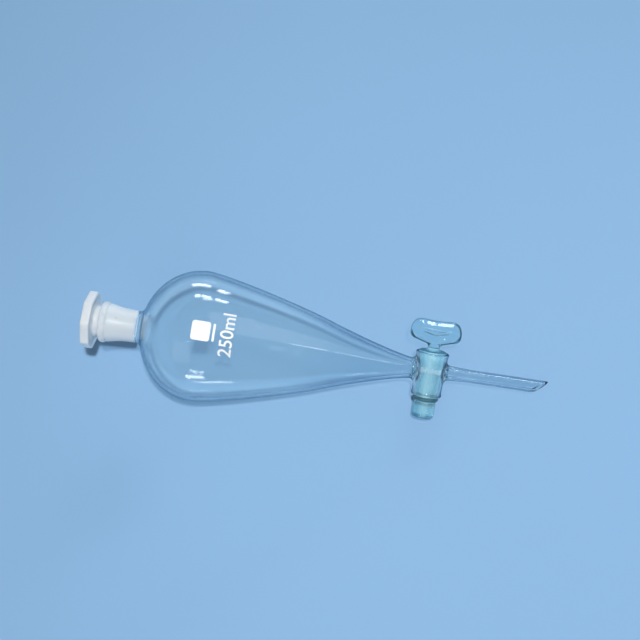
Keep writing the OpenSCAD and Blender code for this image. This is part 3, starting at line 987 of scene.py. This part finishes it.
def lay_print(name, flat_mesh, z0):
    """A closed thin print from a flat mesh, centred at height z0."""
    bm = bmesh.new()
    bm.from_mesh(flat_mesh)
    bmesh.ops.remove_doubles(bm, verts=bm.verts, dist=1e-5)
    bmesh.ops.triangulate(bm, faces=bm.faces)
    # cut the print into small cells so that it follows the curved wall
    for axis in (0, 1):
        places = [v.co[axis] for v in bm.verts]
        cut, end = min(places) + PRINT_CELL, max(places)
        normal = [0, 0, 0]
        normal[axis] = 1
        while cut < end:
            bmesh.ops.bisect_plane(bm, geom=bm.verts[:] + bm.edges[:] + bm.faces[:],
                                   plane_co=[cut * part for part in normal],
                                   plane_no=normal, dist=1e-6)
            cut += PRINT_CELL
    bmesh.ops.triangulate(bm, faces=bm.faces)
    bm.verts.ensure_lookup_table()
    flat = [(v.co.x, v.co.y) for v in bm.verts]
    triangles = [tuple(v.index for v in face.verts) for face in bm.faces]
    bm.free()
    # outer skin, inner skin and the side walls between them
    edges = {}
    for triangle in triangles:
        for a, b in zip(triangle, triangle[1:] + triangle[:1]):
            edges.setdefault((min(a, b), max(a, b)), []).append((a, b))
    n = len(flat)
    verts = [on_bulb(u, z0 + v, lift) for lift in (PRINT_LIFT, PRINT_BASE) for u, v in flat]
    faces = triangles + [(c + n, b + n, a + n) for a, b, c in triangles]
    for uses in edges.values():
        if len(uses) == 1:
            a, b = uses[0]
            faces.append((b, a, a + n, b + n))
    return new_object(name, verts, faces, [ENAMEL], smooth=False)


def rounded_panel(name, width, height, corner, z0):
    bm = bmesh.new()
    outline = []
    for side_x, side_y, turn in ((1, 1, 0), (-1, 1, 90), (-1, -1, 180), (1, -1, 270)):
        centre_x, centre_y = side_x * (width / 2 - corner), side_y * (height / 2 - corner)
        for i in range(9):
            a = math.radians(turn + 90 * i / 8)
            outline.append(bm.verts.new((centre_x + corner * math.cos(a),
                                         centre_y + corner * math.sin(a), 0)))
    bm.faces.new(outline)
    flat_mesh = bpy.data.meshes.new(name + "_flat")
    bm.to_mesh(flat_mesh)
    bm.free()
    return lay_print(name, flat_mesh, z0)


def text_mesh(words, size):
    curve = bpy.data.curves.new("txt", "FONT")
    curve.body = words
    curve.align_x, curve.align_y = "CENTER", "CENTER"
    curve.size = size
    curve.resolution_u = 6
    curve.offset = 0.012 * size
    text = bpy.data.objects.new("txt", curve)
    bpy.context.scene.collection.objects.link(text)
    depsgraph = bpy.context.evaluated_depsgraph_get()
    mesh = bpy.data.meshes.new_from_object(text.evaluated_get(depsgraph))
    bpy.data.objects.remove(text)
    return mesh


# a blank patch, a plain rule and the nominal capacity
marks = (
    rounded_panel("enamel_writing_patch", width=11.0, height=10.4, corner=1.6, z0=BULB_Z - 4.2),
    rounded_panel("enamel_rule", width=10.0, height=1.3, corner=0.5, z0=BULB_Z - 11.4),
    lay_print("enamel_capacity_mark", text_mesh("250ml", size=10.2), z0=BULB_Z - 19.0),
)
for mark in marks:
    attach(mark, "glass_body")


# ---------------------------------------------------------------- camera
CAMERA_TURN = math.radians(9.0)      # about Z, from -Y towards +X
CAMERA_ROLL = math.radians(8.51)     # the view has -Z roughly to its right and +X up
CAMERA_DISTANCE = 582.92
FOCAL_LENGTH, SENSOR_WIDTH = 55.575, 36.0

axis_z = Vector((0, 0, 1))
side = Vector((math.cos(CAMERA_TURN), math.sin(CAMERA_TURN), 0))
back = Vector((math.sin(CAMERA_TURN), -math.cos(CAMERA_TURN), 0))    # funnel to camera
right = (-math.cos(CAMERA_ROLL)) * axis_z + math.sin(CAMERA_ROLL) * side
up = math.cos(CAMERA_ROLL) * side + math.sin(CAMERA_ROLL) * axis_z


def placed(x, y, z, origin):
    """Matrix with the given axes and origin."""
    rows = [(x[i], y[i], z[i], origin[i]) for i in range(3)]
    return Matrix((*rows, (0, 0, 0, 1)))


def add_camera():
    lens = bpy.data.cameras.new("camera")
    lens.sensor_width = SENSOR_WIDTH
    lens.lens = FOCAL_LENGTH
    lens.clip_start, lens.clip_end = 0.01, 20
    camera = bpy.data.objects.new("camera", lens)
    bpy.context.scene.collection.objects.link(camera)
    target = (axis_z * 138.5 + side * 19.8) * MM
    camera.matrix_world = placed(
        right, up, back, [target[i] + back[i] * CAMERA_DISTANCE * MM for i in range(3)])
    bpy.context.scene.camera = camera


add_camera()


# ---------------------------------------------------------------- table
FLOOR_COLOUR = (0.29, 0.50, 0.76)
FLOOR_RADIUS, FLOOR_SEGMENTS = 1.0, 96


def table_plane():
    """Normal and offset of the plane that touches the bulb, the stem and the plug."""
    bulb, stem, plug_ = (cad_points(node) for node in ("bulb", "stem", "stopcock_plug"))

    def normal(turn, tilt):
        return np.array([math.cos(tilt) * math.sin(turn), -math.cos(tilt) * math.cos(turn),
                         math.sin(tilt)])

    def gaps(turn, tilt):
        n = normal(turn, tilt)
        low_bulb, low_stem, low_plug = ((part @ n).min() for part in (bulb, stem, plug_))
        return np.array([low_plug - low_bulb, low_stem - low_bulb])

    # Newton's method from a near start, each step held to 0.05 rad
    turn, tilt = math.radians(18), math.radians(9)
    probe = 1e-4
    for _ in range(60):
        here = gaps(turn, tilt)
        jacobian = np.stack([(gaps(turn + probe, tilt) - here) / probe,
                             (gaps(turn, tilt + probe) - here) / probe], 1)
        step = np.linalg.solve(jacobian, -here)
        turn += float(np.clip(step[0], -0.05, 0.05))
        tilt += float(np.clip(step[1], -0.05, 0.05))
    n = Vector(normal(turn, tilt))
    return n, float((bulb @ np.array(n)).min())


def paper():
    material, tree, out = new_material("pale_paper")
    coords = object_coords(tree)
    grain = noise(tree, coords, scale=900.0, detail=4.0, rough=0.6)
    patches = noise(tree, coords, scale=3.0, detail=3.0, rough=0.5)
    colour = ramp(tree, patches, [(0.3, tuple(c * 0.985 for c in FLOOR_COLOUR)),
                                  (0.7, tuple(min(1, c * 1.015) for c in FLOOR_COLOUR))])
    normal = bump(tree, grain, strength=0.15, distance=0.0001)
    sheet = add_node(tree, "BsdfDiffuse", {"Color": colour, "Normal": normal})
    # one-sided, and fading out at its edge, so that it never hides the funnel from a camera
    geometry = add_node(tree, "NewGeometry")
    distance = add_node(tree, "VectorMath", {0: coords}, operation="LENGTH").outputs["Value"]
    fade_scale = 1.0                 # fade positions are in metres from the middle
    fade = ramp(tree, calc(tree, "MULTIPLY", distance, fade_scale), [(0.50, 0.0), (0.95, 1.0)])
    gone = calc(tree, "MAXIMUM", geometry.outputs["Backfacing"], fade)
    path = add_node(tree, "LightPath")
    gone = calc(tree, "MAXIMUM", gone, path.outputs["Is Shadow Ray"])
    clear = add_node(tree, "BsdfTransparent")
    surface = mix_shaders(tree, gone, sheet.outputs[0], clear.outputs[0])
    tree.links.new(surface, out.inputs["Surface"])
    return material


def floor():
    material = paper()
    normal, offset = table_plane()
    across = normal.orthogonal().normalized()
    along = normal.cross(across)
    middle = Vector((0, 0, 0.14))
    middle = middle + normal * (offset - middle.dot(normal)) - normal * 0.0002
    n = FLOOR_SEGMENTS
    verts = [(0, 0, 0)]
    for i in range(n):
        a = 2 * math.pi * i / n
        verts.append((FLOOR_RADIUS * math.cos(a), FLOOR_RADIUS * math.sin(a), 0))
    mesh = bpy.data.meshes.new("floor")
    mesh.from_pydata(verts, [], [(0, 1 + i, 1 + (i + 1) % n) for i in range(n)])
    mesh.materials.append(material)
    disc = bpy.data.objects.new("floor", mesh)
    bpy.context.scene.collection.objects.link(disc)
    disc.matrix_world = placed(across, along, normal, middle)


floor()


# ---------------------------------------------------------------- lights
LIGHT_AIM = Vector((0, 0, 0.15))


def from_camera(up_degrees, right_degrees):
    """Direction from the funnel, tilted from the camera's own direction."""
    a, b = math.radians(up_degrees), math.radians(right_degrees)
    direction = (back * (math.cos(a) * math.cos(b)) + up * math.sin(a)
                 + right * (math.cos(a) * math.sin(b)))
    return direction.normalized()


def area_light(name, direction, distance, size, power, colour):
    """A square lamp facing the funnel, hidden from the camera."""
    lamp = bpy.data.lights.new(name, "AREA")
    lamp.shape = "RECTANGLE"
    lamp.size = lamp.size_y = size
    lamp.energy = power
    lamp.color = colour
    light = bpy.data.objects.new(name, lamp)
    bpy.context.scene.collection.objects.link(light)
    z = direction.normalized()
    x = right - right.dot(z) * z
    x.normalize()
    light.matrix_world = placed(x, z.cross(x), z, LIGHT_AIM + z * distance)
    light.visible_camera = False
    return light


# a small hard lamp near the camera's direction
area_light("key", from_camera(8.0, 4.0), distance=1.15, size=0.045, power=10.6,
           colour=(1.0, 1.0, 1.0))
fill = area_light("fill", from_camera(-25, -35), distance=1.4, size=0.9, power=2.2,
                  colour=(0.97, 0.985, 1.0))
fill.visible_glossy = False
# a soft lamp on the far side, for the views from behind
rear = area_light("rear", -from_camera(-20, 25), distance=1.4, size=0.9, power=10.0,
                  colour=(1.0, 0.985, 0.96))
rear.visible_glossy = False


# ---------------------------------------------------------------- world
ROOM_COLOUR = (0.06, 0.075, 0.09, 1)
BACKDROP_COLOUR = (0.34, 0.50, 0.70, 1)
PANE_COLOUR = (0.97, 0.99, 1.0, 1)
PANE_SOFTNESS = 0.009                # radians each way at a pane's edge
# bright panes seen in reflections, in degrees from the direction back to the camera:
# (angle up, angle right, half height, half width, strength)
PANES = [
    (75.6, -2.4, 2.6, 4.4, 16.0), (75.6, 10.2, 2.6, 5.2, 16.0), (75.4, 19.5, 2.8, 1.7, 18.0),
    (102.6, -0.2, 2.6, 11.8, 13.0), (98.6, 16.7, 3.4, 1.3, 14.0), (12.2, 36.2, 0.9, 4.8, 7.0),
    (-75.5, -8.5, 3.0, 9.3, 9.0), (-104.0, -11.5, 2.6, 7.8, 7.0),
]


def pane_mask(tree, x, y, z, angle_up, angle_right, half_height, half_width):
    """1 inside a soft-edged pane; x, y, z is the direction in camera space, +Z ahead."""
    elevation = calc(tree, "ARCTAN2", y, calc(tree, "MULTIPLY", z, -1.0))
    azimuth = calc(tree, "ARCSINE", x)
    offsets = [calc(tree, "ABSOLUTE", calc(tree, "SUBTRACT", angle, math.radians(centre)))
               for angle, centre in ((elevation, angle_up), (azimuth, angle_right))]
    masks = [smooth_range(tree, offset, math.radians(half) + PANE_SOFTNESS,
                          math.radians(half) - PANE_SOFTNESS)
             for offset, half in zip(offsets, (half_height, half_width))]
    return calc(tree, "MULTIPLY", *masks)


def world():
    studio = bpy.data.worlds.new("studio")
    bpy.context.scene.world = studio
    studio.use_nodes = True
    tree = studio.node_tree
    tree.nodes.clear()
    out = add_node(tree, "OutputWorld")
    generated = add_node(tree, "TexCoord").outputs["Generated"]
    in_camera = add_node(tree, "VectorTransform", {0: generated}, vector_type="VECTOR",
                         convert_from="WORLD", convert_to="CAMERA").outputs[0]
    unit = add_node(tree, "VectorMath", {0: in_camera}, operation="NORMALIZE").outputs[0]
    x, y, z = add_node(tree, "SeparateXYZ", {0: unit}).outputs

    # pale backdrop ahead, dimmer room round the sides and behind
    ahead = smooth_range(tree, z, -0.05, 0.45)
    room = mix_colours(tree, ahead, ROOM_COLOUR, BACKDROP_COLOUR)
    masks = [pane_mask(tree, x, y, z, *pane[:4]) for pane in PANES]
    glow = None
    for mask, pane in zip(masks, PANES):
        lit = calc(tree, "MULTIPLY", mask, pane[4])
        glow = lit if glow is None else calc(tree, "ADD", glow, lit)
    # the panes don't show directly in the picture
    path = add_node(tree, "LightPath")
    hidden = calc(tree, "SUBTRACT", 1.0, path.outputs["Is Camera Ray"])
    glow = calc(tree, "MULTIPLY", glow, hidden)
    room_light = add_node(tree, "Background", {"Color": room, "Strength": 1.0})
    pane_light = add_node(tree, "Background", {"Color": PANE_COLOUR, "Strength": glow})
    both = add_node(tree, "AddShader", {0: room_light.outputs[0], 1: pane_light.outputs[0]})
    tree.links.new(both.outputs[0], out.inputs["Surface"])


world()

# ---------------------------------------------------------------- render settings
scene = bpy.context.scene
scene.cycles.max_bounces = 24
scene.cycles.transmission_bounces = 24
scene.cycles.glossy_bounces = 8
scene.cycles.transparent_max_bounces = 24
scene.cycles.sample_clamp_indirect = 6.0
scene.view_settings.view_transform = "Standard"
